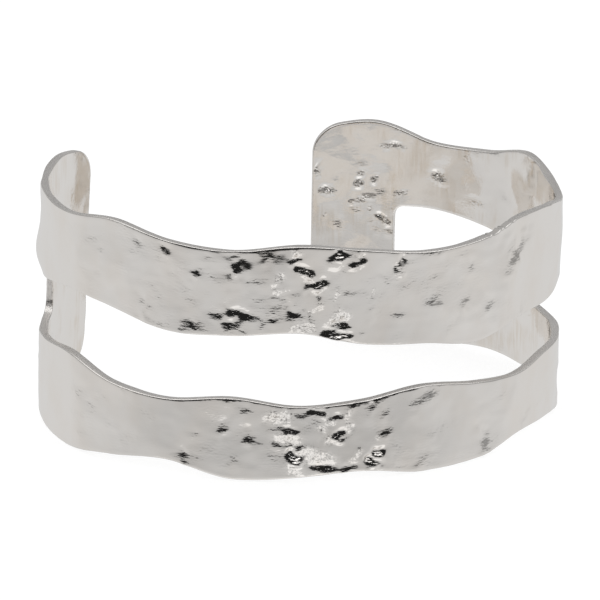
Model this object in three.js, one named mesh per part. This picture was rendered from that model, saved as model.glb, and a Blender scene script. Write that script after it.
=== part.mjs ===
// An open cuff bangle, cut from one piece of silver sheet. The flat blank is a strip with rounded
// corners and wavy edges. A long wavy slot divides it into an upper and a lower bar, which join in
// solid metal at each end. The blank is hammered, then bent round an oval until its two ends face
// each other across a gap.
//
// Millimetres, +Z up. The cuff lies on its side, as it does on a table: the wrist hollow stands
// upright, the front is towards -Y and the gap towards +Y. The origin is under the middle of its
// outline, on the surface that it rests on.
import * as THREE from "three";

// Driving dimensions.
const SHEET = 1.0; // thickness of the silver
const OVAL_HALF_WIDTH = 31.0; // outer face, side to side
const OVAL_HALF_DEPTH = 27.65; // outer face, front to back
const LEFT_END_ANGLE = 90 + 29.9; // degrees round the oval from +X
const RIGHT_END_ANGLE = 360 + 90 - 30.25;
const LEFT_SOLID_END = 11.8; // from each end of the strip to the slot
const RIGHT_SOLID_END = 10.2;
const END_CORNER = 3.2; // radius of the strip's four outer corners
const SLOT_CORNER = 1.3; // radius of the slot's four corners
const LEFT_END_LEAN = 1.2; // the left end's foot is cut back this much from its head
const LEAN_REACH = 9.0; // the lean fades out over this length of strip

// Heights of the strip's four edges above the surface that the cuff rests on. The sections are
// evenly spaced along the strip, from its left end to its right end.
const SECTIONS = [
  { foot: 1.5, slotFoot: 12.1, slotHead: 15.4, head: 27.2 },
  { foot: 1.3, slotFoot: 11.6, slotHead: 15.5, head: 28.1 },
  { foot: 0.8, slotFoot: 10.0, slotHead: 16.6, head: 27.6 },
  { foot: 0.3, slotFoot: 10.5, slotHead: 17.7, head: 27.7 },
  { foot: 0.0, slotFoot: 11.2, slotHead: 18.7, head: 27.8 },
  { foot: 0.9, slotFoot: 9.6, slotHead: 18.3, head: 28.7 },
  { foot: 1.7, slotFoot: 9.0, slotHead: 16.9, head: 27.5 },
  { foot: 0.2, slotFoot: 9.8, slotHead: 17.1, head: 27.0 },
  { foot: 0.5, slotFoot: 8.9, slotHead: 17.6, head: 27.8 },
  { foot: 1.0, slotFoot: 9.3, slotHead: 15.9, head: 27.1 },
  { foot: 0.0, slotFoot: 10.2, slotHead: 15.2, head: 26.1 },
  { foot: 0.1, slotFoot: 9.3, slotHead: 14.1, head: 26.3 },
  { foot: 1.4, slotFoot: 8.7, slotHead: 15.4, head: 27.4 },
  { foot: 1.4, slotFoot: 9.5, slotHead: 15.5, head: 26.9 },
  { foot: 0.2, slotFoot: 9.2, slotHead: 16.3, head: 25.5 },
  { foot: 0.0, slotFoot: 8.7, slotHead: 15.7, head: 25.5 },
  { foot: 0.5, slotFoot: 9.1, slotHead: 15.3, head: 26.7 },
  { foot: 0.8, slotFoot: 9.8, slotHead: 16.0, head: 25.2 },
  { foot: 0.2, slotFoot: 9.6, slotHead: 16.7, head: 24.9 },
  { foot: 0.0, slotFoot: 9.4, slotHead: 16.4, head: 26.8 },
  { foot: 0.0, slotFoot: 9.4, slotHead: 16.7, head: 25.7 },
];

// How finely the faces are divided.
const COLUMN_STEP = 1.7; // along the strip
const CORNER_STEPS = 6; // along each rounded corner
const BAR_ROWS = 3; // up each bar
const SLOT_ROWS = 2; // up the solid metal beyond each end of the slot

// The outer face's outline from above, travelled from the strip's left end to its right end.
const outline = new THREE.EllipseCurve(
  0,
  0,
  OVAL_HALF_WIDTH,
  OVAL_HALF_DEPTH,
  THREE.MathUtils.degToRad(LEFT_END_ANGLE),
  THREE.MathUtils.degToRad(RIGHT_END_ANGLE),
);
const STRIP_LENGTH = outline.getLength();
const SLOT_START = LEFT_SOLID_END;
const SLOT_END = STRIP_LENGTH - RIGHT_SOLID_END;

// One smooth line through the sections for each of the four edges.
const edgeLines = {};
for (const edge of Object.keys(SECTIONS[0])) {
  edgeLines[edge] = new THREE.SplineCurve(
    SECTIONS.map((section, k) => new THREE.Vector2(k, section[edge])),
  );
}

// The unrounded height of an edge, no lower than the surface.
function edgeHeight(edge, along) {
  return Math.max(0, edgeLines[edge].getPoint(along / STRIP_LENGTH).y);
}

// How far a rounded corner falls back from a straight edge, at a distance from the corner's side.
function cornerDrop(distance, radius) {
  const inside = THREE.MathUtils.clamp(radius - distance, 0, radius);
  return radius - Math.sqrt(radius ** 2 - inside ** 2);
}

// The heights of the four edges at one place along the strip, with the corners rounded.
function edgesAt(along) {
  const endDrop = cornerDrop(Math.min(along, STRIP_LENGTH - along), END_CORNER);
  const slotDrop = cornerDrop(Math.min(along - SLOT_START, SLOT_END - along), SLOT_CORNER);
  return {
    foot: edgeHeight("foot", along) + endDrop,
    slotFoot: edgeHeight("slotFoot", along) + slotDrop,
    slotHead: edgeHeight("slotHead", along) - slotDrop,
    head: edgeHeight("head", along) - endDrop,
  };
}

// Evenly spaced values from one number up to, but not including, another.
function steps(from, to, count) {
  return Array.from({ length: count }, (_, k) => from + ((to - from) * k) / count);
}

// Distances from a corner's side that divide its arc evenly.
function cornerColumns(start, radius) {
  return steps(0, Math.PI / 2, CORNER_STEPS).map((turn) => start + radius * (1 - Math.cos(turn)));
}

// The places from one end of the strip to its middle where the faces are divided, closest together
// at the corners.
function halfColumns(solidEnd) {
  const half = STRIP_LENGTH / 2;
  const solidSteps = Math.round((solidEnd - END_CORNER) / COLUMN_STEP);
  const barSteps = Math.round((half - solidEnd - SLOT_CORNER) / COLUMN_STEP);
  return [
    ...cornerColumns(0, END_CORNER),
    ...steps(END_CORNER, solidEnd, solidSteps),
    ...cornerColumns(solidEnd, SLOT_CORNER),
    ...steps(solidEnd + SLOT_CORNER, half, barSteps),
  ];
}

// The places along the whole strip. The right half is counted from the right end.
function columnPlaces() {
  const rightHalf = halfColumns(RIGHT_SOLID_END).map((fromEnd) => STRIP_LENGTH - fromEnd);
  return [...halfColumns(LEFT_SOLID_END), STRIP_LENGTH / 2, ...rightHalf.reverse()];
}

// The heights where one column is divided: up the lower bar, across the slot, up the upper bar.
function rowHeights(along) {
  const { foot, slotFoot, slotHead, head } = edgesAt(along);
  return [
    ...steps(foot, slotFoot, BAR_ROWS),
    ...steps(slotFoot, slotHead, SLOT_ROWS),
    ...steps(slotHead, head, BAR_ROWS),
    head,
  ];
}

// A point of the bent strip. Its depth is 0 on the outer face and SHEET on the inner face.
function bentPoint(along, height, depth) {
  const lean = LEFT_END_LEAN * (1 - height / SECTIONS[0].head);
  const fade = Math.max(0, 1 - along / LEAN_REACH);
  const share = (along + lean * fade) / STRIP_LENGTH;
  const outer = outline.getPointAt(share);
  const forwards = outline.getTangentAt(share);
  return [outer.x - forwards.y * depth, outer.y + forwards.x * depth, height];
}

// The cuff's closed surface. The strip is a grid of cells between columns and rows, with no cells
// in the slot. Each cell has an outer and an inner face, and a wall on each side with no neighbour.
function cuffGeometry() {
  const places = columnPlaces();
  const columns = places.map((along) => {
    const heights = rowHeights(along);
    const face = (depth) => heights.map((height) => bentPoint(along, height, depth));
    return { outer: face(0), inner: face(SHEET) };
  });
  const rowCount = 2 * BAR_ROWS + SLOT_ROWS;
  const isSolid = (column, row) => {
    if (column < 0 || column >= places.length - 1 || row < 0 || row >= rowCount) return false;
    const inSlotRows = row >= BAR_ROWS && row < BAR_ROWS + SLOT_ROWS;
    const middle = (places[column] + places[column + 1]) / 2;
    return !(inSlotRows && middle > SLOT_START && middle < SLOT_END);
  };

  const positions = [];
  // A flat four-sided facet, with its corners anticlockwise as seen from outside the metal.
  const facet = (a, b, c, d) => positions.push(...a, ...b, ...c, ...a, ...c, ...d);
  for (let i = 0; i < places.length - 1; i += 1) {
    for (let j = 0; j < rowCount; j += 1) {
      if (!isSolid(i, j)) continue;
      const left = columns[i];
      const right = columns[i + 1];
      facet(left.outer[j], right.outer[j], right.outer[j + 1], left.outer[j + 1]);
      facet(right.inner[j], left.inner[j], left.inner[j + 1], right.inner[j + 1]);
      if (!isSolid(i, j - 1)) facet(left.inner[j], right.inner[j], right.outer[j], left.outer[j]);
      if (!isSolid(i, j + 1)) {
        facet(left.outer[j + 1], right.outer[j + 1], right.inner[j + 1], left.inner[j + 1]);
      }
      if (!isSolid(i - 1, j)) {
        facet(left.inner[j], left.outer[j], left.outer[j + 1], left.inner[j + 1]);
      }
      if (!isSolid(i + 1, j)) {
        facet(right.outer[j], right.inner[j], right.inner[j + 1], right.outer[j + 1]);
      }
    }
  }

  const geometry = new THREE.BufferGeometry();
  geometry.setAttribute("position", new THREE.Float32BufferAttribute(positions, 3));
  geometry.computeBoundingBox();
  const middle = geometry.boundingBox.getCenter(new THREE.Vector3());
  geometry.translate(-middle.x, -middle.y, 0);
  geometry.computeVertexNormals();
  return geometry;
}

const silver = new THREE.MeshStandardMaterial({
  name: "silver",
  color: 0xcbc8c5,
  metalness: 1.0,
  roughness: 0.15,
});

const cuff = new THREE.Mesh(cuffGeometry(), silver);
cuff.name = "cuff";

const bangle = new THREE.Group();
bangle.name = "bangle";
bangle.add(cuff);

export default bangle;
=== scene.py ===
# %% [markdown]
# # A hammered silver cuff, dressed over its solid model
#
# The solid model of this cuff is already made: one bent strip of silver with a long wavy slot, at its
# real size. It has flat facets and no hammer marks. This lesson gives it what the eye expects from
# beaten silver: a finely divided skin with rounded rims and real dents, a bright polish, and a soft
# studio for the polish to reflect.
#
# The solid model is loaded first, because every size here comes from it or has to agree with it.

import math

import bpy
import numpy as np
from mathutils import Euler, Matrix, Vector


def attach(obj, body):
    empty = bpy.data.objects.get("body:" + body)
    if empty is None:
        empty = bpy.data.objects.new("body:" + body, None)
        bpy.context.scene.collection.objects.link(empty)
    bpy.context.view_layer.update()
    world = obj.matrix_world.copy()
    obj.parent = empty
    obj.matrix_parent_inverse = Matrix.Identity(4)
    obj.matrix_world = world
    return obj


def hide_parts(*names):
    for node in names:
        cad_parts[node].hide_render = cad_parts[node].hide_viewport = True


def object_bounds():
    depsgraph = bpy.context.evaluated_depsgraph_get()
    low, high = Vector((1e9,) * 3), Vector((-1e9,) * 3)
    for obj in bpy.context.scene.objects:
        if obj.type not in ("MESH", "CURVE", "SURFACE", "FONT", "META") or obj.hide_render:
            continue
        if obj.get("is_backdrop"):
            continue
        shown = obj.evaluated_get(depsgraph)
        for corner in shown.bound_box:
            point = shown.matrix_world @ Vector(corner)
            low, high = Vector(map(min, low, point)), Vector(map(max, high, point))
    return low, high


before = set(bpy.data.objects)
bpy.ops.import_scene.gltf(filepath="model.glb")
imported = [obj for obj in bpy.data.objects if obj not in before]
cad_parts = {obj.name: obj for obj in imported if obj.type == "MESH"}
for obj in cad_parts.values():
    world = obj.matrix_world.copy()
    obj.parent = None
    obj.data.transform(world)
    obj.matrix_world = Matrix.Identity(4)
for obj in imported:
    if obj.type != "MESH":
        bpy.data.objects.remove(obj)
solid_low, solid_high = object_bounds()
MM = 0.001
print("solid model, mm:", [round(side / MM, 1) for side in solid_high - solid_low])

# %% [markdown]
# ## The camera
#
# Jewellery looks best from far away through a long lens, so that near and far parts keep nearly the
# same scale. The camera stands a little to the left of the cuff's front and looks down on it by
# about 17 degrees: steep enough to show the inside of the far end, flat enough to show the band.
#
# It could be aimed with a constraint, but a direction and a distance are easier to read. The slight
# roll tips the picture by one degree, and the small shift places the cuff in the frame.

# %% Camera
CAMERA_TURN = math.radians(-31.05)
CAMERA_HEIGHT = math.radians(17.16)
CAMERA_ROLL = math.radians(1.03)
CAMERA_DISTANCE = 0.8754
AIM_HEIGHT = 0.0135
LENS = {"lens": 453, "sensor_width": 36, "shift_x": -0.0012, "shift_y": -0.0099, "clip_end": 20}
OVAL_HALF_DEPTH = 27.65 * MM
oval_middle = Vector((0, solid_low.y + OVAL_HALF_DEPTH, 0))

toward_camera = Vector((
    math.sin(CAMERA_TURN) * math.cos(CAMERA_HEIGHT),
    -math.cos(CAMERA_TURN) * math.cos(CAMERA_HEIGHT),
    math.sin(CAMERA_HEIGHT),
))
camera_data = bpy.data.cameras.new("camera")
for name, value in LENS.items():
    setattr(camera_data, name, value)
camera = bpy.data.objects.new("camera", camera_data)
bpy.context.collection.objects.link(camera)
camera.location = oval_middle + Vector((0, 0, AIM_HEIGHT)) + toward_camera * CAMERA_DISTANCE
aim = toward_camera.to_track_quat("Z", "Y")
roll = Euler((0, 0, CAMERA_ROLL)).to_quaternion()
camera.rotation_mode = "QUATERNION"
camera.rotation_quaternion = aim @ roll
bpy.context.scene.camera = camera
print("camera at", [round(value, 3) for value in camera.location])

# %% [markdown]
# ## The studio
#
# Polished silver has almost no colour of its own. Whatever stands round it is what it looks like, so
# the studio is half of the finish. A jeweller's table is white and lit softly from all sides, with a
# darker room behind the camera. The flat of the band reflects the pale table, and only where a dent
# tips the metal upwards does it catch the dark of the room: those are the black flecks of hammered
# silver. Steeper dents reach the lights overhead and turn white, and metal that tips downwards
# mirrors the brightest part of the table, close to the cuff.
#
# Real lamps and cards would do it, but they cast grain into the reflections. Here the whole room is
# one sky, painted by direction: table below, room round the sides, lights overhead. Only the silver
# mirrors it. All else, the camera's backdrop too, is lit by plain white, so it stays clean.

# %% Node helpers
def add_node(tree, kind, **settings):
    """A node of one kind, with its properties set."""
    node = tree.nodes.new(kind)
    for name, value in settings.items():
        setattr(node, name, value)
    return node


def feed(tree, socket, value):
    """Gives a socket its value: a link where the value is another socket, a number otherwise."""
    if isinstance(value, bpy.types.NodeSocket):
        tree.links.new(value, socket)
    else:
        socket.default_value = value


def smooth_rise(tree, value, start, end, low=0.0, high=1.0):
    """A socket that goes from low to high in a smooth step while value goes from start to end."""
    node = add_node(tree, "ShaderNodeMapRange", interpolation_type="SMOOTHSTEP")
    for name, given in zip(
        ("Value", "From Min", "From Max", "To Min", "To Max"), (value, start, end, low, high)
    ):
        feed(tree, node.inputs[name], given)
    return node.outputs["Result"]


def mixed(tree, share, first, second):
    """A socket that holds first where share is 0, second where it is 1, and a mixture between."""
    node = add_node(tree, "ShaderNodeMix", data_type="FLOAT")
    for socket, given in zip(node.inputs[:1] + node.inputs[2:4], (share, first, second)):
        feed(tree, socket, given)
    return node.outputs[0]


def worked_out(tree, operation, *values, kind="ShaderNodeVectorMath"):
    """The answers of a node that does one sum, on vectors unless another kind is given."""
    node = add_node(tree, kind, operation=operation)
    for socket, value in zip(node.inputs, values):
        feed(tree, socket, value)
    return node.outputs


def scaled(tree, value, share):
    """A socket that holds a value times a share."""
    return worked_out(tree, "MULTIPLY", value, share, kind="ShaderNodeMath")[0]


print("helpers that join nodes: feed, smooth_rise, mixed, worked_out and scaled")

# %% Directions in the room
def sine(degrees):
    """The height that a direction reaches on a ball of radius 1, for its angle above the horizon."""
    return math.sin(math.radians(degrees))


def side_of_room(tree, vector):
    """
    How far a place or direction lies to the camera's side: the cosine of the level angle between them.
    It is 1 towards the camera, 0 to the left and right, and -1 behind the cuff.
    """
    level = worked_out(tree, "MULTIPLY", vector, (1, 1, 0))["Vector"]
    unit = worked_out(tree, "NORMALIZE", level)["Vector"]
    camera_side = Vector((toward_camera.x, toward_camera.y, 0)).normalized()
    return worked_out(tree, "DOT_PRODUCT", unit, camera_side)["Value"]


def banded(tree, height, brightness, bands):
    """Brightness from the floor up. Each band begins softly between two angles from the horizon."""
    for start, end, own in bands:
        brightness = mixed(tree, smooth_rise(tree, height, sine(start), sine(end)), brightness, own)
    return brightness


print("45 degrees up is at height", round(sine(45), 2))

# %% The room that the silver reflects
# Brightness of each thing in the room, as the silver mirrors it. The table is a little brighter than
# its own value close to the cuff and a little darker far away.
FRONT_TABLE, SIDE_TABLE, NEAR_TABLE = 0.56, 0.66, 0.98
CLOSE_SHARE, FAR_SHARE = 1.11, 0.89
FRONT_WALL, SIDE_WALL, LIT_SIDE_WALL, BACK_WALL = 0.015, 0.28, 0.85, 0.40
CEILING = 0.42
LAMPS = 1.35


def make_room():
    """
    One sky. Its brightness goes in bands, each from one angle above the horizon to the next, and the
    bands differ to the front, to the sides and behind.
    """
    world = bpy.data.worlds.new("studio_room")
    world.use_nodes = True
    tree = world.node_tree
    direction = add_node(tree, "ShaderNodeTexCoord").outputs["Generated"]
    parts = add_node(tree, "ShaderNodeSeparateXYZ")
    feed(tree, parts.inputs[0], direction)
    height = parts.outputs["Z"]
    side = side_of_room(tree, direction)

    table = mixed(tree, smooth_rise(tree, side, sine(10), sine(60)), SIDE_TABLE, FRONT_TABLE)
    overhead = [(42, 50, LAMPS), (66, 76, CEILING)]
    brighter, darker = (scaled(tree, table, share) for share in (CLOSE_SHARE, FAR_SHARE))
    front = banded(tree, height, table, [
        (-75, -65, NEAR_TABLE),
        (-44, -33, brighter),
        (-30, -7, darker),
        (-9, -2, FRONT_WALL),
        *overhead,
    ])
    sides = banded(tree, height, table, [
        (-30, -8, darker),
        (-9, 0, SIDE_WALL),
        (12, 32, LIT_SIDE_WALL),
        *overhead,
    ])
    back = banded(tree, height, table, [(-3, 3, BACK_WALL), (42, 50, CEILING)])
    room = mixed(tree, smooth_rise(tree, side, sine(20), sine(42)), sides, front)
    room = mixed(tree, smooth_rise(tree, side, sine(-10), sine(-30)), room, back)

    rays = add_node(tree, "ShaderNodeLightPath")
    light = mixed(tree, rays.outputs["Is Glossy Ray"], 1.0, room)
    feed(tree, tree.nodes["Background"].inputs["Strength"], light)
    tree.nodes["Background"].inputs["Color"].default_value = (1, 1, 1, 1)
    world.cycles.sampling_method = "NONE"
    return world


bpy.context.scene.world = make_room()
bpy.context.scene.view_settings.view_transform = "Standard"
print("studio: pale table, dark room behind the camera, lights overhead")

# %% [markdown]
# ## The table
#
# The cuff lies on white paper that runs on past the picture, so nothing shows but the paper and the
# cuff's own soft shadow. It is one square, because a flat sheet needs no more, and it is marked as
# stage, so it isn't taken for a part of the cuff.
#
# A strong lamp could turn plain paper white, but it would wash out the silver as well. This paper
# glows a little by itself and is grey otherwise, which leaves a faint shadow where the cuff stands.

# %% White paper
# Sizes in metres. The silver sees a shade on the paper from just outside its own outline.
CUFF_INSIDE, CUFF_OUTSIDE = 0.022, 0.034
SHADE_START, SHADE_END = 0.035, 0.10
SHADED = 0.88
PAPER = {
    "Base Color": (0.25, 0.25, 0.25, 1),
    "Roughness": 1.0,
    "Specular IOR Level": 0.0,
    "Emission Color": (1, 1, 1, 1),
    "Emission Strength": 0.82,
}


def make_paper():
    """
    White paper to the eye. The silver looks through it at the room's own table, a little darkened in
    front of the cuff, where the cuff keeps light off the paper.
    """
    material = bpy.data.materials.new("pale_paper")
    material.use_nodes = True
    tree = material.node_tree
    paper = tree.nodes["Principled BSDF"]
    for name, value in PAPER.items():
        paper.inputs[name].default_value = value

    place = add_node(tree, "ShaderNodeTexCoord").outputs["Object"]
    distance = worked_out(tree, "LENGTH", place)["Value"]
    in_front = smooth_rise(tree, side_of_room(tree, place), sine(20), sine(60))
    shade = smooth_rise(tree, distance, SHADE_START, SHADE_END, SHADED, 1.0)
    outside = smooth_rise(tree, distance, CUFF_INSIDE, CUFF_OUTSIDE)
    glass = add_node(tree, "ShaderNodeBsdfTransparent")
    shade = mixed(tree, in_front, 1.0, mixed(tree, outside, 1.0, shade))
    feed(tree, glass.inputs["Color"], shade)

    rays = add_node(tree, "ShaderNodeLightPath")
    either = add_node(tree, "ShaderNodeMixShader")
    feed(tree, either.inputs[0], rays.outputs["Is Glossy Ray"])
    feed(tree, either.inputs[1], paper.outputs[0])
    feed(tree, either.inputs[2], glass.outputs[0])
    feed(tree, tree.nodes["Material Output"].inputs["Surface"], either.outputs[0])
    material.cycles.emission_sampling = "NONE"
    return material


pale_paper = make_paper()
print("paper glows at", PAPER["Emission Strength"])

# %% The table
TABLE_HALF = 3.0


def make_table():
    """One square sheet on the level that the cuff rests on."""
    corners = [(x * TABLE_HALF, y * TABLE_HALF, 0) for x, y in ((-1, -1), (1, -1), (1, 1), (-1, 1))]
    mesh = bpy.data.meshes.new("table")
    mesh.from_pydata(corners, [], [(0, 1, 2, 3)])
    mesh.materials.append(pale_paper)
    table = bpy.data.objects.new("table", mesh)
    bpy.context.collection.objects.link(table)
    table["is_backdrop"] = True
    return table


make_table()
print("table:", 2 * TABLE_HALF, "m square")

# %% [markdown]
# ## The strip and its wavy edges
#
# Before it was bent, the cuff was a flat strip. Its top and bottom edges and the two sides of its slot
# were sawn freehand, so they wander. They are the same four lines as in the solid model: heights at
# evenly spaced sections, joined by a smooth curve. A Blender curve object could hold them, but a table
# and one formula keep them next to their numbers.

# %% Sizes of the strip, in millimetres
HALF_WIDTH = (solid_high.x - solid_low.x) / 2 / MM
HALF_DEPTH = OVAL_HALF_DEPTH / MM
SHEET = 1.0
LEFT_END_ANGLE = 90 + 29.9
RIGHT_END_ANGLE = 360 + 90 - 30.25
LEFT_SOLID_END = 11.8
RIGHT_SOLID_END = 10.2
END_CORNER = 3.2
SLOT_CORNER = 1.3
LEFT_END_LEAN = 1.2
LEAN_REACH = 9.0
OVAL_STEPS = 8000

# Each row is one section, from the strip's left end to its right end.
EDGES = ("foot", "slot_foot", "slot_head", "head")
SECTIONS = np.array([
    (1.5, 12.1, 15.4, 27.2), (1.3, 11.6, 15.5, 28.1), (0.8, 10.0, 16.6, 27.6),
    (0.3, 10.5, 17.7, 27.7), (0.0, 11.2, 18.7, 27.8), (0.9, 9.6, 18.3, 28.7),
    (1.7, 9.0, 16.9, 27.5), (0.2, 9.8, 17.1, 27.0), (0.5, 8.9, 17.6, 27.8),
    (1.0, 9.3, 15.9, 27.1), (0.0, 10.2, 15.2, 26.1), (0.1, 9.3, 14.1, 26.3),
    (1.4, 8.7, 15.4, 27.4), (1.4, 9.5, 15.5, 26.9), (0.2, 9.2, 16.3, 25.5),
    (0.0, 8.7, 15.7, 25.5), (0.5, 9.1, 15.3, 26.7), (0.8, 9.8, 16.0, 25.2),
    (0.2, 9.6, 16.7, 24.9), (0.0, 9.4, 16.4, 26.8), (0.0, 9.4, 16.7, 25.7),
])

turn = np.radians(np.linspace(LEFT_END_ANGLE, RIGHT_END_ANGLE, OVAL_STEPS + 1))
oval = np.stack([HALF_WIDTH * np.cos(turn), HALF_DEPTH * np.sin(turn)], axis=1)
travelled = np.append(0, np.cumsum(np.hypot(*np.diff(oval, axis=0).T)))
STRIP_LENGTH = travelled[-1]
SLOT_START = LEFT_SOLID_END
SLOT_END = STRIP_LENGTH - RIGHT_SOLID_END
print("strip length, mm:", round(STRIP_LENGTH, 2))

# %% Nicks in the head edge
# A stretch of the head edge, in mm along the strip, that a coarse file has nicked.
NICKED_START, NICKED_END = 84.4, 90.0
NICK_DEPTH = 0.085
NICK_LENGTH, NICK_DRIFT = 1.0, 2.3


def nicked_share(along):
    """How far a place lies inside the stretch that the file nicked, fading over 1 mm."""
    return np.clip(np.minimum(along - NICKED_START, NICKED_END - along), 0, 1)


def file_nicks(along):
    """
    Metal filed off the head edge over one short stretch: depth * (1 + sin(along / length + 2 *
    sin(along / drift))), both in whole turns, so the nicks crowd and spread.
    """
    drift = 2 * np.sin(2 * math.pi * along / NICK_DRIFT)
    return nicked_share(along) * NICK_DEPTH * (1 + np.sin(2 * math.pi * along / NICK_LENGTH + drift))


print("nicked for", round(NICKED_END - NICKED_START, 1), "mm, down to", 2 * NICK_DEPTH, "mm")

# %% Edge lines
def edge_height(edge, along):
    """
    The height of one edge, no lower than the table. Between sections 1 and 2 of four neighbours
    p0, p1, p2, p3 it is the cubic that passes p1 and p2 with slopes (p2 - p0) / 2 and (p3 - p1) / 2.
    """
    heights = SECTIONS[:, EDGES.index(edge)]
    place = np.clip(along / STRIP_LENGTH, 0, 1) * (len(heights) - 1)
    first = np.minimum(place.astype(int), len(heights) - 2)
    t = place - first
    p0, p1, p2, p3 = (heights[np.clip(first + k, 0, len(heights) - 1)] for k in (-1, 0, 1, 2))
    start, end = (p2 - p0) / 2, (p3 - p1) / 2
    cubic = (2 * p1 - 2 * p2 + start + end) * t**3 + (3 * p2 - 3 * p1 - 2 * start - end) * t**2
    return np.maximum(0, cubic + start * t + p1)


def corner_drop(distance, radius):
    """How far a round corner falls back from its straight edge: r - sqrt(r^2 - (r - distance)^2)."""
    inside = np.clip(radius - distance, 0, radius)
    return radius - np.sqrt(radius**2 - inside**2)


def rounded_edges(along):
    """The four edge heights with the strip's corners and the slot's corners rounded."""
    end_drop = corner_drop(np.minimum(along, STRIP_LENGTH - along), END_CORNER)
    slot_drop = corner_drop(np.minimum(along - SLOT_START, SLOT_END - along), SLOT_CORNER)
    return {
        "foot": edge_height("foot", along) + end_drop,
        "slot_foot": edge_height("slot_foot", along) + slot_drop,
        "slot_head": edge_height("slot_head", along) - slot_drop,
        "head": edge_height("head", along) - end_drop - file_nicks(along),
    }


halfway = rounded_edges(np.array([STRIP_LENGTH / 2]))
print("edge heights halfway, mm:", {edge: round(float(level[0]), 1) for edge, level in halfway.items()})

# %% [markdown]
# ## Dividing the skin
#
# The skin is a net of small four-sided faces, about a quarter of a millimetre each, so that a dent of
# one millimetre is a real hollow and not a trick of the light. Columns run up the strip and rows run
# along it. They crowd together at every edge, where the rim turns over. Round the sides, where the
# marks are gentler, the columns stand farther apart.
#
# Subdividing the solid model would blur its corners and give faces of all sizes. A net worked out
# from the edge lines puts the fine rows exactly where the rims are.

# %% Steps over rims and corners
# The radius of a rim in mm, and the steps over a rim and round a corner.
RIM = 0.18
RIM_STEPS = 3
CORNER_CELLS = 12


def rim_steps():
    """Distances from an edge that divide the quarter turn of its rim evenly: RIM * (1 - cos a)."""
    return RIM * (1 - np.cos(np.linspace(0, math.pi / 2, RIM_STEPS + 1)[:-1]))


def even_steps(start, end, cell):
    """Steps of about one cell, from start to just before end."""
    return np.linspace(start, end, round((end - start) / cell) + 1)[:-1]


def corner_steps(start, radius):
    """Distances along a corner that divide its arc evenly, from its side to its straight edge."""
    return start + radius * (1 - np.cos(np.linspace(0, math.pi / 2, CORNER_CELLS + 1)))[:-1]


print("steps over a rim, mm:", [round(float(step), 3) for step in rim_steps()])

# %% Columns of the net
# Breadths of the cells, and where the fine columns start and end, all in mm.
END_CELL, FINE_CELL, COARSE_CELL = 0.25, 0.2, 0.55
FINE_START, FINE_END = 36.0, 93.0


def end_columns(solid_end):
    """Distances of the columns from one end of the strip, over its corner to the slot's corner."""
    corner = corner_steps(0, END_CORNER)
    return np.concatenate([
        rim_steps(),
        corner[corner > RIM],
        even_steps(END_CORNER, solid_end - RIM, END_CELL),
        [solid_end - RIM],
        solid_end - rim_steps()[:0:-1],
        corner_steps(solid_end, SLOT_CORNER),
    ])


def column_places():
    """Where the columns stand along the strip: one end, the two bars, and the other end mirrored."""
    bars_start, bars_end = SLOT_START + SLOT_CORNER, SLOT_END - SLOT_CORNER
    return np.concatenate([
        end_columns(LEFT_SOLID_END),
        even_steps(bars_start, FINE_START, COARSE_CELL),
        even_steps(FINE_START, FINE_END, FINE_CELL),
        even_steps(FINE_END, bars_end, COARSE_CELL),
        [bars_end],
        STRIP_LENGTH - end_columns(RIGHT_SOLID_END)[::-1],
    ])


columns = column_places()
print("columns:", len(columns))

# %% Rows of the net
# In mm: the height of a row, and typical heights of the two bars and of the slot.
ROW = 0.27
LOWER_BAR, SLOT_GAP, UPPER_BAR = 9.4, 3.5, 10.6


def bar_rows(low, high, typical):
    """
    Heights up one bar, without its top: low + offset + share * (high - low - 2 * RIM). The rows of
    the two rims keep their distance from the edges, and the rows between them share out the rest.
    """
    share = even_steps(0, typical - 2 * RIM, ROW) / (typical - 2 * RIM)
    rim = rim_steps()
    offset = np.concatenate([rim, RIM + 0 * share, [RIM], 2 * RIM - rim[:0:-1]])
    share = np.concatenate([0 * rim, share, 1 + 0 * rim])
    return low[:, None] + offset + share * (high - low - 2 * RIM)[:, None]


def slot_rows(low, high):
    """Heights across the solid metal beyond the slot, in even shares, without the top."""
    share = even_steps(0, SLOT_GAP, ROW) / SLOT_GAP
    return low[:, None] + share * (high - low)[:, None]


edges = rounded_edges(columns)
lower_rows = bar_rows(edges["foot"], edges["slot_foot"], LOWER_BAR)
middle_rows = slot_rows(edges["slot_foot"], edges["slot_head"])
upper_rows = bar_rows(edges["slot_head"], edges["head"], UPPER_BAR)
height = np.hstack([lower_rows, middle_rows, upper_rows, edges["head"][:, None]])
along = np.repeat(columns[:, None], height.shape[1], axis=1)
print("net:", height.shape[0], "columns x", height.shape[1], "rows")

# %% [markdown]
# ## Rounded rims
#
# A sawn edge is sharp, so it is filed and lightly rounded. That thin round carries the finest lines on
# the whole cuff, because somewhere on it the metal always faces a lamp. A Bevel modifier could do
# this, but it would also cut the small faces of the net. Instead each face of the sheet falls back
# towards the middle of the metal as it nears an edge, along a quarter circle. Along one stretch a
# coarse file has nicked the head edge, and the rims are burnished there, so the nicks glint.

# %% Distance to the nearest edge
BURNISHED = 0.8


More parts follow.
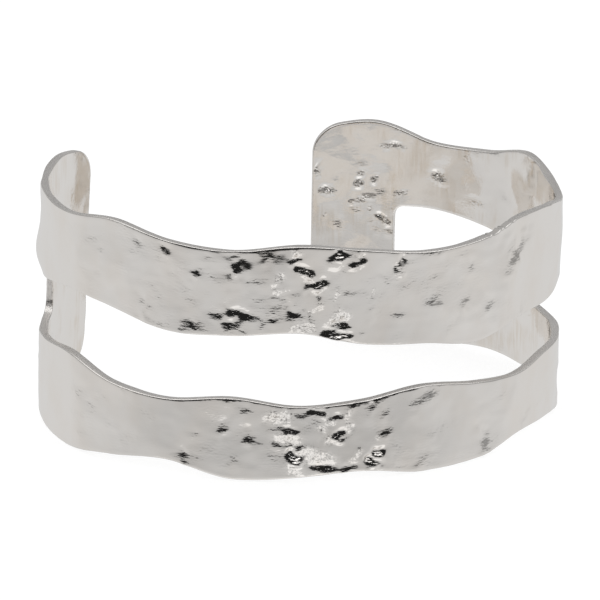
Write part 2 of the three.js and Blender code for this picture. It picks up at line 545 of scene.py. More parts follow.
def edge_distance(along, height):
    """
    Distance in the flat strip from the nearest edge. The outside is a rectangle with corners of
    radius R: R - |(max(R - p, 0), max(R - q, 0))|, for distances p and q from its sides. The slot is
    a hole of the same kind, measured from outside: |(max(R + p, 0), max(R + q, 0))| - R.
    """
    p = np.minimum(along, STRIP_LENGTH - along)
    head = edge_height("head", along) - file_nicks(along)
    q = np.minimum(height - edge_height("foot", along), head - height)
    outside = END_CORNER - np.hypot(np.maximum(END_CORNER - p, 0), np.maximum(END_CORNER - q, 0))
    p = np.maximum(SLOT_START - along, along - SLOT_END)
    q = np.maximum(edge_height("slot_foot", along) - height, height - edge_height("slot_head", along))
    slot = np.hypot(np.maximum(SLOT_CORNER + p, 0), np.maximum(SLOT_CORNER + q, 0)) - SLOT_CORNER
    return np.clip(np.minimum(outside, slot), 0, None)


from_edge = edge_distance(along, height)
rim_fall = corner_drop(from_edge, RIM)
rims = np.clip(1 - from_edge / RIM, 0, 1) * (1 - BURNISHED * nicked_share(along))
print("rims fall back by up to", round(rim_fall.max(), 2), "mm of a", SHEET, "mm sheet")

# %% [markdown]
# ## Hammer marks
#
# A hammer and a rough anvil leave relief of many sizes. There are slow swells of the sheet and shallow
# planished hollows. There are smeared marks, where the hammer's edge bit and dragged, and torn marks
# with crisp outlines. Their floors lean back, so they mirror the dark room and look black. There are
# blisters, and crumpled patches where the metal folded and glitters. The two sides of the cuff bulge.
# On polished metal it is the slope that shows, not the depth: a tenth of a millimetre is enough to
# turn a fleck black.
#
# A noise texture and a Bump node would be quick, but bump vanishes at the outline and in the exported
# shape. Here the relief is real: the swells are smooth random numbers, and the marks are charted one by
# one where they stand out and strewn at random elsewhere.

# %% Smooth random swells
# The random net starts this many mm before the strip does. The spread is that of the spline itself.
NET_MARGIN = 9
SPLINE_SPREAD = 0.479


def swells(along, height, size, seed):
    """
    Smooth random relief with a spread of 1 and swells of about one size. Random numbers sit on the
    crossings of a square net, and the value between them is their uniform cubic B-spline: the sum
    over the 4 x 4 nearest crossings of w(u) * w(v) * number.
    """
    u, v = (along + NET_MARGIN) / size, (height + NET_MARGIN) / size
    first_u, first_v = u.astype(int), v.astype(int)
    shape = (first_u.max() + 4, first_v.max() + 4)
    numbers = np.random.default_rng(seed).standard_normal(shape)

    def weights(t):
        """The four cubic B-spline weights at a share t of the way between two crossings."""
        return (
            (1 - t) ** 3 / 6,
            (3 * t**3 - 6 * t**2 + 4) / 6,
            (1 + 3 * t + 3 * t**2 - 3 * t**3) / 6,
            t**3 / 6,
        )

    total = 0
    for i, across in enumerate(weights(u - first_u)):
        for j, up in enumerate(weights(v - first_v)):
            total = total + across * up * numbers[first_u + i, first_v + j]
    return total / SPLINE_SPREAD


print("spread of a swell:", round(float(swells(along, height, 2.4, 1).std()), 2))

# %% A chart of the marks that stand out
# Each row is one oval mark: along, height, length and breadth in mm, turn in degrees anticlockwise as
# seen from outside, and how steeply its floor leans back from upright.
SMEARED_MARKS = [
    (49.2, 24.1, 0.9, 0.6, -5, 0.6), (53.4, 25.2, 1.4, 0.8, 15, 0.36), (54.1, 25.8, 0.9, 0.6, 40, 0.34),
    (51.7, 25.0, 0.8, 0.2, 5, 0.25), (53.8, 26.3, 0.9, 0.4, 5, 0.28), (52.6, 23.9, 1.1, 0.6, 35, 0.25),
    (50.4, 25.9, 0.8, 0.5, 5, 0.16), (57.4, 26.8, 0.9, 0.5, 5, 0.34), (57.8, 26.1, 0.7, 0.3, 0, 0.28),
    (58.6, 26.5, 0.6, 0.2, -5, 0.18), (55.0, 23.5, 1.0, 0.3, 10, 0.16), (56.2, 23.6, 1.0, 0.4, 5, 0.16),
    (58.2, 23.9, 0.6, 0.4, 0, 0.31), (58.1, 22.9, 1.0, 0.4, -5, 0.15), (56.2, 21.4, 1.1, 0.4, 0, 0.2),
    (57.9, 21.9, 1.0, 0.2, 5, 0.16), (59.1, 21.6, 0.7, 0.4, 0, 0.23), (60.0, 19.5, 0.8, 0.4, 0, 0.26),
    (60.9, 19.9, 0.7, 0.3, 10, 0.32), (61.8, 20.5, 0.5, 0.4, 0, 0.34), (57.7, 19.1, 1.0, 0.4, 5, 0.18),
    (51.3, 19.2, 1.1, 0.7, 35, 0.36), (52.9, 19.8, 1.6, 0.8, 10, 0.36),
    (55.0, 19.4, 1.5, 0.7, 10, 0.36), (52.4, 18.0, 1.6, 0.9, 15, 0.34),
    (53.8, 18.3, 1.6, 1.1, 15, 0.34), (54.7, 17.5, 1.6, 0.6, 10, 0.36),
    (52.7, 16.9, 2.2, 0.6, 10, 0.34), (47.8, 17.9, 1.4, 0.7, -20, 0.31),
    (47.4, 17.3, 0.7, 0.6, 5, 0.28), (49.0, 17.6, 0.8, 0.7, -15, 0.23), (66.1, 22.3, 1.6, 0.5, 0, 0.22),
    (67.4, 22.1, 0.9, 0.4, 10, 0.3), (68.0, 17.3, 1.4, 0.5, 5, 0.2), (71.1, 23.0, 1.4, 1.0, 15, 0.14),
    (55.1, 8.3, 1.4, 0.6, 10, 0.3), (52.4, 6.3, 1.1, 1.1, -20, 0.29), (55.6, 5.1, 1.2, 0.8, 30, 0.3),
    (48.7, 5.1, 0.6, 0.5, -15, 0.28), (47.9, 2.3, 1.2, 1.0, -15, 0.34), (53.7, 2.6, 0.8, 0.7, 5, 0.2),
    (52.9, 1.9, 0.6, 0.5, 5, 0.18), (49.7, 2.4, 1.1, 0.4, 5, 0.16), (58.8, 6.4, 1.1, 0.4, -10, 0.31),
    (58.9, 4.6, 0.8, 0.5, 0, 0.23), (58.4, 3.4, 0.9, 0.4, 15, 0.23), (61.1, 7.9, 1.1, 0.5, 0, 0.18),
    (69.3, 8.5, 0.6, 0.6, -5, 0.31), (67.2, 8.8, 0.8, 0.4, 15, 0.28), (70.5, 9.4, 0.9, 0.4, 10, 0.25),
    (70.9, 5.2, 1.6, 0.6, 30, 0.3), (77.7, 20.5, 2.2, 1.2, 40, 0.16), (81.7, 19.5, 1.8, 1.2, 40, 0.32),
    (85.3, 17.9, 1.6, 1.1, 45, 0.32), (90.4, 23.6, 3.8, 2.0, 30, 0.3), (89.1, 22.4, 1.8, 1.1, 25, 0.26),
    (82.1, 23.1, 1.4, 0.8, 5, 0.2), (72.3, 19.1, 1.4, 0.6, 10, 0.22), (81.1, 25.1, 1.8, 0.5, 15, 0.2),
    (77.8, 25.8, 2.7, 0.4, -5, 0.22), (76.4, 8.7, 1.9, 1.2, 15, 0.12), (74.9, 8.4, 1.1, 0.7, 0, 0.1),
    (76.2, 1.5, 2.2, 1.1, -5, 0.3), (85.4, 1.4, 1.6, 1.7, 15, 0.26), (85.6, 2.7, 0.9, 1.7, 45, 0.2),
    (41.7, 26.3, 1.7, 1.4, -15, 0.08), (35.6, 21.7, 1.0, 0.6, 15, 0.2),
    (42.5, 19.6, 1.1, 1.6, 10, 0.16), (32.6, 6.9, 1.2, 1.2, 15, 0.14),
    (45.6, 26.3, 1.5, 0.35, -35, 0.45),
]
TORN_MARKS = [
    (60.4, 26.1, 1.0, 0.7, 0, 0.5), (61.3, 24.9, 1.9, 0.9, -40, 0.48), (62.7, 23.4, 2.1, 0.9, 10, 0.5),
    (65.1, 26.7, 1.5, 0.7, 10, 0.5), (67.6, 25.9, 0.9, 0.8, 15, 0.5), (67.2, 25.4, 0.5, 0.5, -5, 0.4),
    (73.0, 25.2, 1.3, 0.9, 40, 0.46), (72.4, 24.3, 1.1, 0.9, 45, 0.46), (72.1, 23.5, 0.8, 0.6, 5, 0.3),
    (65.9, 18.3, 1.3, 0.8, 5, 0.5), (64.7, 17.4, 2.0, 1.1, -10, 0.5), (65.7, 17.0, 1.2, 0.7, -10, 0.5),
    (59.9, 6.0, 1.3, 0.6, -15, 0.5), (61.0, 2.9, 2.0, 1.2, -30, 0.55), (61.0, 4.2, 1.1, 0.5, 10, 0.45),
    (62.7, 8.1, 1.4, 0.7, -20, 0.42), (65.4, 5.4, 1.0, 1.0, 20, 0.45), (65.6, 7.5, 0.8, 0.5, -5, 0.42),
    (64.2, 1.5, 1.7, 0.7, -5, 0.42), (66.5, 1.5, 1.3, 0.6, 10, 0.4), (69.2, 1.9, 1.4, 0.8, -10, 0.76),
    (70.2, 2.7, 1.5, 0.8, 30, 0.78),
]
INSIDE_MARKS = [
    (142.3, 23.9, 1.9, 0.6, -10, 0.54), (151.6, 20.3, 0.5, 1.5, 0, 0.49),
    (149.8, 18.0, 1.6, 0.8, 25, 0.49), (146.6, 19.1, 1.0, 1.0, 30, 0.49),
    (146.3, 20.4, 1.3, 0.5, -35, 0.44), (144.6, 19.8, 1.4, 0.5, -35, 0.49),
    (145.7, 17.6, 1.2, 0.6, -5, 0.54), (146.6, 16.9, 1.4, 0.5, -30, 0.54),
    (144.4, 15.9, 0.8, 0.4, -15, 0.49), (150.1, 14.9, 0.9, 0.4, -20, 0.49),
    (141.2, 18.2, 1.3, 0.6, -5, 0.35), (143.1, 14.7, 1.5, 0.8, 25, 0.49),
    (136.2, 20.7, 1.5, 0.7, 55, 0.52),
]

# Each row is one patch of crumpled metal: along, height, length and breadth in mm, and turn in degrees.
CRUMPLES = [
    (60.0, 26.9, 1.0, 0.9, 0), (61.2, 24.0, 2.3, 0.9, -55), (67.5, 25.2, 1.1, 0.5, -5),
    (67.4, 26.5, 0.8, 0.5, -5), (58.4, 24.4, 0.9, 1.1, 0), (57.8, 23.2, 0.6, 0.5, 0),
    (59.2, 22.4, 0.7, 0.9, 60), (63.3, 22.9, 1.8, 0.6, 55), (62.9, 20.3, 1.0, 1.9, 0),
    (65.3, 19.3, 2.0, 2.1, -5), (61.3, 18.3, 2.2, 1.4, 10), (65.4, 22.0, 0.6, 1.3, -5),
    (69.2, 22.2, 0.7, 0.8, -5), (58.7, 7.7, 3.0, 1.8, 0), (59.7, 5.2, 2.9, 1.5, 0),
    (63.6, 6.9, 0.9, 2.8, 0), (64.6, 5.0, 1.7, 0.5, -35), (66.6, 6.9, 1.2, 2.6, -5),
    (63.0, 3.1, 4.0, 1.7, -20), (60.3, 1.6, 1.1, 1.4, 0), (67.6, 2.9, 1.6, 0.7, 55),
    (69.6, 4.7, 0.8, 0.8, -5), (70.0, 8.9, 1.1, 0.8, -5), (61.1, 1.0, 0.9, 0.7, 0),
]

# Each row is one blister or pit: along, height, length, breadth, turn, and how far it rises in mm.
BLISTERS = [
    (64.9, 25.7, 1.9, 1.5, 0, 0.20), (59.9, 20.8, 0.9, 1.9, 0, -0.11), (69.1, 19.1, 1.1, 1.8, -5, 0.05),
    (61.5, 2.4, 1.6, 1.0, 0, 0.07), (65.6, 5.3, 1.1, 1.0, 0, 0.06), (70.4, 2.7, 1.6, 1.2, 0, 0.06),
]

# Broad bulges and one dent of both faces at the cuff's two sides, in the same columns.
BULGES = [
    (17.5, 19.8, 10, 4.6, 0, 0.50), (17.5, 16.5, 9, 3.0, 0, -0.60), (105, 22.5, 14, 7, 0, 0.33),
]

charted = {"smeared": SMEARED_MARKS, "torn": TORN_MARKS, "inside": INSIDE_MARKS, "crumples": CRUMPLES}
print("charted:", {name: len(rows) for name, rows in charted.items()})

# %% Marks strewn at random
# In mm and degrees. The greatest breadth is a share of the greatest length.
LOWEST_MARK, HIGHEST_MARK = 0.5, 27.5
SHORTEST, NARROWEST = 0.6, 0.3
BROADEST_SHARE = 0.4
MOST_TURNED = 50


def strewn_marks(seed, count, start, end, mildest, steepest, longest=2.0):
    """
    Marks at random between two places along the strip, with the columns of the chart. Each column is
    drawn evenly between its two ends.
    """
    draw = np.random.default_rng(seed).uniform
    return np.stack([
        draw(start, end, count),
        draw(LOWEST_MARK, HIGHEST_MARK, count),
        draw(SHORTEST, longest, count),
        draw(NARROWEST, BROADEST_SHARE * longest, count),
        draw(-MOST_TURNED, MOST_TURNED, count),
        draw(mildest, steepest, count),
    ], axis=1)


outer_marks = np.vstack([
    SMEARED_MARKS,
    strewn_marks(seed=11, count=60, start=0, end=38, mildest=0.06, steepest=0.20),
    strewn_marks(seed=14, count=160, start=30, end=92, mildest=-0.04, steepest=0.11, longest=3.2),
    strewn_marks(seed=12, count=110, start=92, end=STRIP_LENGTH, mildest=0.08, steepest=0.30),
])
inner_marks = strewn_marks(seed=13, count=260, start=0, end=STRIP_LENGTH, mildest=0.08, steepest=0.28)
print("marks outside:", len(outer_marks) + len(TORN_MARKS))
print("marks inside:", len(inner_marks) + len(INSIDE_MARKS))

# %% The shape of one mark
# How far torn outlines are pushed along the strip and up it, and the size of the pushes, in mm.
TORN_ALONG, TORN_UP, TORN_SIZE = 0.34, 0.12, 0.5


def oval_reach(along, height, oval):
    """
    How far points lie from an oval's centre, squared: (p / half length)^2 + (q / half breadth)^2 in the
    oval's own turned axes. It is 1 on the outline.
    """
    place, level, length, breadth, turned = oval
    cos_turn, sin_turn = math.cos(math.radians(turned)), math.sin(math.radians(turned))
    p = (along - place) * cos_turn + (height - level) * sin_turn
    q = (height - level) * cos_turn - (along - place) * sin_turn
    return (2 * p / length) ** 2 + (2 * q / breadth) ** 2


def soft_share(reach):
    """A share that has no outline: 1 / (1 + reach)^1.5."""
    return 1 / (1 + reach) ** 1.5


def crisp_share(reach):
    """A share from 1 inside to 0 outside, in a narrow step: 1 / (1 + exp((reach - 1) / 0.2))."""
    return 1 / (1 + np.exp(np.clip((reach - 1) / 0.2, -30, 30)))


def fading_share(reach):
    """A share that fades like a bell: exp(-reach)."""
    return np.exp(-np.minimum(reach, 30))


def torn_apart(along, height, seed):
    """
    The same points pushed about by small swells, so that ovals drawn on them have torn outlines:
    along + TORN_ALONG * swells, height + TORN_UP * swells.
    """
    pushed_along = along + TORN_ALONG * swells(0.5 * along, height, TORN_SIZE, seed)
    pushed_height = height + TORN_UP * swells(along, height, TORN_SIZE, seed + 1)
    return pushed_along, pushed_height


shares = (soft_share, crisp_share, fading_share)
print("share on the outline:", {share.__name__: round(float(share(1.0)), 2) for share in shares})

# %% Leaning floors and halos
# A mark that leans this much counts as whole. Its halo is this many times as large.
FULL_LEAN = 0.3
HALO_LARGER = 1.6


def leaning_floors(along, height, torn, marks, share_of, longer, broader):
    """
    The relief of marks whose floors lean back, and how much of one lies at each point. Inside its oval
    each floor leans about the oval's middle: relief = -lean * (height - level) * share.
    """
    total, presence = np.zeros_like(along), np.zeros_like(along)
    for place, level, length, breadth, turned, lean in marks:
        share = share_of(oval_reach(*torn, (place, level, longer * length, broader * breadth, turned)))
        total -= lean * (height - level) * share
        presence = np.maximum(presence, share * min(1, lean / FULL_LEAN))
    return total, presence


def halo_share(torn, marks):
    """How near each point is to a mark: the largest fading share that any enlarged oval has there."""
    larger = np.array([1, 1, HALO_LARGER, HALO_LARGER, 1])
    return np.max([fading_share(oval_reach(*torn, larger * oval)) for oval in marks[:, :5]], axis=0)


print("halos are", HALO_LARGER, "times as large as their marks")

# %% Two beaten faces
# Rises and sizes in mm. A stretch below 1 makes swells longer along the strip.
PLANISHED_RISE, PLANISHED_SIZE = 0.050, 2.4
STREAK_RISE, HALO_RISE, STREAK_SIZE, STREAK_STRETCH = 0.003, 0.006, 0.45, 0.35
GRAIN_RISE, GRAIN_SIZE = 0.007, 0.8
MOTTLE_RISE, MOTTLE_SIZE, MOTTLE_STRETCH = 0.3, 0.5, 0.4
HALO_SHARE = 0.6


def beaten(along, height, marks, longer, broader, seed):
    """
    Relief of one face, in mm out of the metal, and the share of a mark at each point. It is planished
    hollows, streaks that are stronger round the marks, fine grain, and the leaning floors, which a
    mottle deepens and fills in places.
    """
    torn = torn_apart(along, height, seed + 3)
    floors, presence = leaning_floors(along, height, torn, marks, soft_share, longer, broader)
    mottle = 1 + MOTTLE_RISE * swells(MOTTLE_STRETCH * along, height, MOTTLE_SIZE, seed + 6)
    halo = halo_share(torn, marks)
    planished = PLANISHED_RISE * swells(along, height, PLANISHED_SIZE, seed)
    streak_rise = STREAK_RISE + HALO_RISE * halo
    streaks = streak_rise * swells(STREAK_STRETCH * along, height, STREAK_SIZE, seed + 1)
    grain = GRAIN_RISE * swells(along, height, GRAIN_SIZE, seed + 2)
    relief = planished + streaks + grain + np.clip(mottle, 0.1, None) * floors
    return relief, np.maximum(presence, HALO_SHARE * halo)


def span(values):
    """The lowest and the highest value, to print."""
    return round(float(values.min()), 2), "to", round(float(values.max()), 2)


outer_relief, outer_dents = beaten(along, height, outer_marks, longer=0.9, broader=1.7, seed=20)
inner_relief, inner_dents = beaten(along, height, inner_marks, longer=0.75, broader=1.25, seed=40)
print("beaten relief outside, mm:", *span(outer_relief))

# %% Torn marks, blisters and crumples
# Rises and sizes in mm. The crests of the folds stand where the swells are near nothing.
FOLD_RISE, FOLD_CREST, FOLD_SIZE = 0.06, 0.8, 0.5
PATCH_LEAN, PATCH_FADE, PATCH_EDGE = 0.10, 0.7, 1.5
TORN_LONGER, TORN_BROADER = 1.4, 1.5


def crumpled(along, height, seed):
    """
    Torn marks, blisters and crumpled patches, and the shares of marks and of crumples. In a patch the
    metal leans forward a little and is folded into small ridges: rise * (crest - |swells|).
    """
    torn = torn_apart(along, height, seed)
    total, presence = leaning_floors(
        along, height, torn, TORN_MARKS, crisp_share, TORN_LONGER, TORN_BROADER
    )
    for *oval, rise in BLISTERS:
        total += rise * crisp_share(oval_reach(*torn, oval))
    folded = np.zeros_like(along)
    folds = FOLD_RISE * (FOLD_CREST - np.abs(swells(along, height, FOLD_SIZE, seed + 4)))
    for patch in CRUMPLES:
        share = fading_share(PATCH_FADE * oval_reach(*torn, patch) ** PATCH_EDGE)
        folded = np.maximum(folded, share)
        total += PATCH_LEAN * (height - patch[1]) * share
    return total + folded * folds, presence, folded


torn_relief, torn_dents, crumples = crumpled(along, height, seed=60)
outer_relief += torn_relief
outer_dents = np.maximum(outer_dents, torn_dents)
print("whole relief outside, mm:", *span(outer_relief))

# %% Torn marks inside, and swells and bulges of the whole sheet
SHEET_RISE, SHEET_SIZE = 0.10, 6.5

bitten = torn_apart(along, height, seed=80)
bitten_relief, bitten_dents = leaning_floors(
    along, height, bitten, INSIDE_MARKS, crisp_share, longer=1.0, broader=1.1
)
inner_relief += bitten_relief
inner_dents = np.maximum(inner_dents, bitten_dents)
both_faces = SHEET_RISE * swells(along, height, SHEET_SIZE, seed=1)
for *oval, rise in BULGES:
    both_faces += rise * fading_share(oval_reach(along, height, oval))
print("whole relief inside, mm:", *span(inner_relief))
print("sheet pushed, mm:", *span(both_faces))

# %% [markdown]
# ## Bending the strip
#
# The flat strip is bent round an oval, a little wider than it is deep, and stops short of closing so
# that it can go over a wrist. Bending is a formula here: a distance along the strip becomes an angle
# round the oval, and the depth below the outer face is laid off across the metal.

# %% The bent strip
def bent_points(along, height, depth):
    """
    Points in metres. Distance along the strip, leant at the left end's foot, gives the angle round
    the oval (a cos t, b sin t). The point then steps inwards by depth along the unit normal
    (cos t / a, sin t / b) / |...|.
    """
    lean = LEFT_END_LEAN * (1 - height / SECTIONS[0, EDGES.index("head")])
    place = along + lean * np.maximum(0, 1 - along / LEAN_REACH)
    t = np.interp(place, travelled, turn)
    normal = np.stack([np.cos(t) / HALF_WIDTH, np.sin(t) / HALF_DEPTH])
    normal = normal / np.hypot(*normal)
    x = HALF_WIDTH * np.cos(t) - depth * normal[0]
    y = HALF_DEPTH * np.sin(t) - depth * normal[1] + oval_middle.y / MM
    return np.stack([x, y, height], axis=-1) * MM


outer_points = bent_points(along, height, rim_fall - outer_relief - both_faces)
inner_points = bent_points(along, height, SHEET - rim_fall + inner_relief - both_faces)
gap = float(np.hypot(*(outer_points[0, 0] - outer_points[-1, 0])[:2]))
print("gap between the two ends, mm:", round(gap / MM, 1))

# %% [markdown]
# ## One closed skin
#
# A real cuff has no inside to look into: its two faces and its cut edges close round the metal. The
# mesh does the same. The net is laid twice, once over the outer face and once over the inner face,
# and wherever the metal ends, at the strip's sides and round the slot, a wall joins the two.
#
# A Solidify modifier would add the second face by itself, but with the same dents in it. Here each
# face has its own marks, as hammered sheet does.

# %% Faces
slot_first = lower_rows.shape[1]
slot_last = slot_first + middle_rows.shape[1]
middles = (columns[1:] + columns[:-1]) / 2
in_slot = (middles > SLOT_START) & (middles < SLOT_END)
solid = np.ones((len(columns) - 1, height.shape[1] - 1), bool)
solid[in_slot, slot_first:slot_last] = False


def strip_faces(solid):
    """
    Four-sided faces as rows of four point numbers. Outer points come first, then inner points, both
    counted column by column. Each solid cell has an outer and an inner face, and a wall wherever the
    next cell is missing, all wound anticlockwise as seen from outside the metal.
    """
    column_count, row_count = solid.shape
    outer = np.arange((column_count + 1) * (row_count + 1)).reshape(column_count + 1, row_count + 1)
    inner = outer + outer.size
    a, b, c, d = outer[:-1, :-1], outer[1:, :-1], outer[1:, 1:], outer[:-1, 1:]
    e, f, g, h = inner[:-1, :-1], inner[1:, :-1], inner[1:, 1:], inner[:-1, 1:]
    around = np.pad(solid, 1)
    below, above = around[1:-1, :-2], around[1:-1, 2:]
    left, right = around[:-2, 1:-1], around[2:, 1:-1]
    walls = [
        (solid, (a, b, c, d)),
        (solid, (f, e, h, g)),
        (solid & ~below, (e, f, b, a)),
        (solid & ~above, (d, c, g, h)),
        (solid & ~left, (e, a, d, h)),
        (solid & ~right, (b, f, g, c)),
    ]
    return np.vstack([np.stack([corner[where] for corner in face], axis=1) for where, face in walls])


faces = strip_faces(solid)
used, faces = np.unique(faces, return_inverse=True)
faces = faces.reshape(-1, 4)
points = np.concatenate([outer_points.reshape(-1, 3), inner_points.reshape(-1, 3)])[used]
print("skin:", len(points), "points,", 2 * len(faces), "triangles")

# %% What each point remembers
# The inner face lies this far off in the silver's noise, so that it looks different.
INSIDE_AWAY = 9


def at_points(outer_values, inner_values):
    """One value for each point of the mesh, from a value for each crossing of the two nets."""
    return np.concatenate([outer_values.ravel(), inner_values.ravel()])[used]


point_values = {
    "dent": at_points(outer_dents, inner_dents),
    "crumple": at_points(crumples, bitten_dents),
    "rim": at_points(rims, rims),
    "inside": at_points(0 * rims, 0 * rims + 1),
}
strip_places = np.stack([
    at_points(along, along),
    at_points(height, height),
    INSIDE_AWAY * point_values["inside"],
], axis=1)
for name, values in point_values.items():
    print(name, "on average:", round(float(values.mean()), 2))

# %% The dressed cuff
def make_cuff():
    """One closed mesh with smooth shading. Its points know their marks and their place on the strip."""
    mesh = bpy.data.meshes.new("hammered_cuff")
    mesh.from_pydata(points, [], faces)
    mesh.validate()
    mesh.shade_smooth()
    for name, values in point_values.items():
        layer = mesh.attributes.new(name, "FLOAT", "POINT")
        layer.data.foreach_set("value", values.astype(np.float32))
    layer = mesh.attributes.new("strip", "FLOAT_VECTOR", "POINT")
    layer.data.foreach_set("vector", strip_places.astype(np.float32).ravel())
    cuff = bpy.data.objects.new("hammered_cuff", mesh)
    bpy.context.collection.objects.link(cuff)
    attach(cuff, "root")
    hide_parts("cuff")
    return cuff


cuff = make_cuff()
print("dressed cuff, mm:", [round(side / MM, 1) for side in cuff.dimensions])

# %% [markdown]
# ## Polished silver
#
# Silver is the whitest of metals, with a trace of warmth that shows when light bounces between its
# walls. It is polished with a soft mop, so the high places shine like a mirror and the hollows, which
# the mop can't reach, stay a little softer. Tarnish browns it first inside, where nobody polishes, and
# it creeps in streaks from edge to edge. The sawn edges keep the scratches of the file.
#
# A picture of metal would repeat and carry someone else's reflections. A metal shader with fine noise
# in its colour, roughness and bump gives the same life. It follows the marks because it reads what was
# stored on the mesh: the share of a mark, of a crumple and of the rim at each point, and the point's
# place on the flat strip, so that streaks run with the metal round the bend.
#
# Bump adds only what is finer than the net: the ragged floors of the marks, the file's scratches, and
# the thin shingles of the crumples. Each shingle leans forward over the bright table, so it glitters.

# %% Patterns that follow the strip
def blended(tree, share, first, second):
    """A colour that is first where share is 0 and second where it is 1."""
    node = add_node(tree, "ShaderNodeMix", data_type="RGBA")
    feed(tree, node.inputs["Factor"], share)
    for socket, given in zip(node.inputs[6:8], (first, second)):
        feed(tree, socket, given)
    return node.outputs[2]


def strip_place(tree, stretch):
    """A point's place on the flat strip in mm, divided by a stretch along it and up it."""
    place = add_node(tree, "ShaderNodeAttribute", attribute_name="strip").outputs["Vector"]
    return worked_out(tree, "DIVIDE", place, (*stretch, 1))["Vector"]


def strip_noise(tree, stretch, detail=2):
    """Noise whose blotches are about as large as the stretch, in mm."""
    noise = add_node(tree, "ShaderNodeTexNoise")
    noise.inputs["Scale"].default_value = 1
    noise.inputs["Detail"].default_value = detail
    feed(tree, noise.inputs["Vector"], strip_place(tree, stretch))
    return noise.outputs["Fac"]


print("patterns follow the strip's own millimetres")

# %% Colour of the silver
BRIGHT = (0.955, 0.925, 0.890, 1)
DULLED = (0.935, 0.890, 0.840, 1)
TARNISHED = (0.885, 0.825, 0.755, 1)
FILED = (0.92, 0.89, 0.86, 1)

# How large each pattern is, in mm along the strip and up it.
PATCHES = (4.0, 6.0)
STREAKS = (0.45, 4.5)

# Values of the noise between which dulling, patches of tarnish and its streaks set in.
DULLING, TARNISHING, STREAKING = (0.35, 0.75), (0.45, 0.66), (0.30, 0.62)


def colour_silver(tree, rim, inside):
    """
    A socket of colour. Outside, wide patches are a little dulled. Inside, patches of tarnish are made
    of thin upright streaks. The rims have the colour of filed metal.
    """
    patches = strip_noise(tree, PATCHES, 3)
    streaks = strip_noise(tree, STREAKS, 3)
    in_patch = smooth_rise(tree, patches, *TARNISHING)
    in_streak = smooth_rise(tree, streaks, *STREAKING)
    outside_colour = blended(tree, smooth_rise(tree, patches, *DULLING), BRIGHT, DULLED)
    inside_colour = blended(tree, scaled(tree, in_patch, in_streak), BRIGHT, TARNISHED)
    skin = blended(tree, inside, outside_colour, inside_colour)
    return blended(tree, rim, skin, FILED)


print("clean, dulled and tarnished silver:", BRIGHT[:3], DULLED[:3], TARNISHED[:3])

# %% Roughness of the silver
# The mop's strokes in mm, and the values of the noise between which the polish softens.
MOP_STROKES = (2.8, 1.6)
SOFTENING = (0.35, 0.65)

# Roughness of the metal at each kind of place.
MOPPED, LESS_MOPPED = 0.05, 0.11
MARK_ROUGHNESS = 0.09
CRUMPLE_ROUGHNESS, INSIDE_MARK_ROUGHNESS = 0.22, 0.08
RIM_ROUGHNESS = 0.30


def roughen_silver(tree, dent, crumple, rim, inside):
    """A socket of roughness: mopped bright in patches, and softer in marks, crumples and on rims."""
    mop = strip_noise(tree, MOP_STROKES, 3)
    polish = smooth_rise(tree, mop, *SOFTENING, MOPPED, LESS_MOPPED)
    marked = mixed(tree, dent, polish, MARK_ROUGHNESS)
    folded = mixed(tree, inside, CRUMPLE_ROUGHNESS, INSIDE_MARK_ROUGHNESS)
    return mixed(tree, rim, mixed(tree, crumple, marked, folded), RIM_ROUGHNESS)


print("roughness from", MOPPED, "on mopped metal to", RIM_ROUGHNESS, "on the rims")

# %% Shingles and bumps
# The shingles' stretch in mm, and the wave that they are cut from.
SHINGLES = (0.35, 1.0)
SHINGLE_WAVE = {"Scale": 0.6, "Distortion": 6, "Detail": 1, "Detail Scale": 1.2}


def shingles(tree):
    """
    Overlapping little folds, each half a millimetre high: a saw-toothed wave up the strip, whose teeth
    are shifted by noise. Each tooth leans forward and ends in a thin step.
    """
    wave = add_node(tree, "ShaderNodeTexWave", bands_direction="Y", wave_profile="SAW")
    feed(tree, wave.inputs["Vector"], strip_place(tree, SHINGLES))
    for name, value in SHINGLE_WAVE.items():
        wave.inputs[name].default_value = value
    return wave.outputs["Fac"]


def bumped(tree, height, strength, depth, under=None):
    """A normal that follows a height of the given depth in metres, over another normal."""
    bump = add_node(tree, "ShaderNodeBump")
    bump.inputs["Distance"].default_value = depth
    feed(tree, bump.inputs["Strength"], strength)
    feed(tree, bump.inputs["Height"], height)
    if under:
        feed(tree, bump.inputs["Normal"], under)
    return bump.outputs["Normal"]


print("shingles:", SHINGLE_WAVE)

# %% Grain of the silver
# Sizes in mm, and the values of the noise between which patches of shingles break off.
RAGS = (0.55, 0.24)
SMALL_FOLDS = (0.30, 0.34)
SHINGLED_PATCHES = (0.5, 1.6)
BREAKING = (0.36, 0.54)
FILE_STROKES = (0.16, 0.5)

# Depths of the fine bumps in metres, and how strong they are.
RAG_DEPTH, FOLD_DEPTH, SHINGLE_DEPTH, SCRATCH_DEPTH = 0.00010, 0.00013, 0.00016, 0.00012
PLAIN_RAGS, MARK_RAGS = 0.03, 0.65
INSIDE_FOLDS, CRUMPLE_FOLDS, INSIDE_DEEPER = 0.025, 0.9, 1.9
SCRATCHES = 0.6


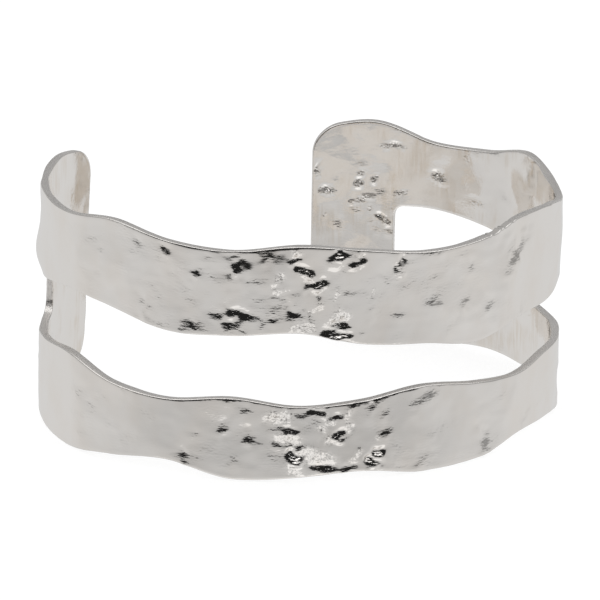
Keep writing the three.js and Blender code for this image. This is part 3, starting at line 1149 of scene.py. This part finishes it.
def grain_silver(tree, dent, crumple, rim, inside):
    """
    A normal with four bumps on top of each other: ragged grain in the marks, small folds in the
    crumples, shingles in broken patches of the crumples outside, and scratches on the rims.
    """
    rags = mixed(tree, dent, PLAIN_RAGS, MARK_RAGS)
    normal = bumped(tree, strip_noise(tree, RAGS), rags, RAG_DEPTH)
    folds = scaled(tree, strip_noise(tree, SMALL_FOLDS), mixed(tree, inside, 1.0, INSIDE_DEEPER))
    folded = mixed(tree, crumple, mixed(tree, inside, 0.0, INSIDE_FOLDS), CRUMPLE_FOLDS)
    normal = bumped(tree, folds, folded, FOLD_DEPTH, normal)
    broken = smooth_rise(tree, strip_noise(tree, SHINGLED_PATCHES), *BREAKING)
    between_marks = mixed(tree, dent, mixed(tree, inside, 1.0, 0.0), 0.0)
    shingled = scaled(tree, scaled(tree, crumple, broken), between_marks)
    normal = bumped(tree, shingles(tree), shingled, SHINGLE_DEPTH, normal)
    scratched = mixed(tree, rim, 0.0, SCRATCHES)
    return bumped(tree, strip_noise(tree, FILE_STROKES), scratched, SCRATCH_DEPTH, normal)


print("deepest fine bump, mm:", round(SHINGLE_DEPTH / MM, 2))

# %% Silver
def make_silver():
    """Metal whose colour, roughness and grain follow the strip, the marks and the rims."""
    material = bpy.data.materials.new("polished_silver")
    material.use_nodes = True
    tree = material.node_tree
    shader = tree.nodes["Principled BSDF"]
    shader.inputs["Metallic"].default_value = 1.0
    dent, crumple, rim, inside = (
        add_node(tree, "ShaderNodeAttribute", attribute_name=name).outputs["Fac"]
        for name in ("dent", "crumple", "rim", "inside")
    )
    feed(tree, shader.inputs["Base Color"], colour_silver(tree, rim, inside))
    feed(tree, shader.inputs["Roughness"], roughen_silver(tree, dent, crumple, rim, inside))
    feed(tree, shader.inputs["Normal"], grain_silver(tree, dent, crumple, rim, inside))
    return material


cuff.data.materials.append(make_silver())
print("material:", cuff.data.materials[0].name)

# %% [markdown]
# ## Sizes
#
# The dressed cuff has to keep the size of the solid model, so both boxes are printed in millimetres.

# %% Finish
dressed_low, dressed_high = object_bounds()
boxes = {
    "solid": [list(solid_low), list(solid_high)],
    "dressed": [list(dressed_low), list(dressed_high)],
}
for name, (low, high) in boxes.items():
    print(name, "box, mm:", [round((b - a) / MM, 2) for a, b in zip(low, high)])
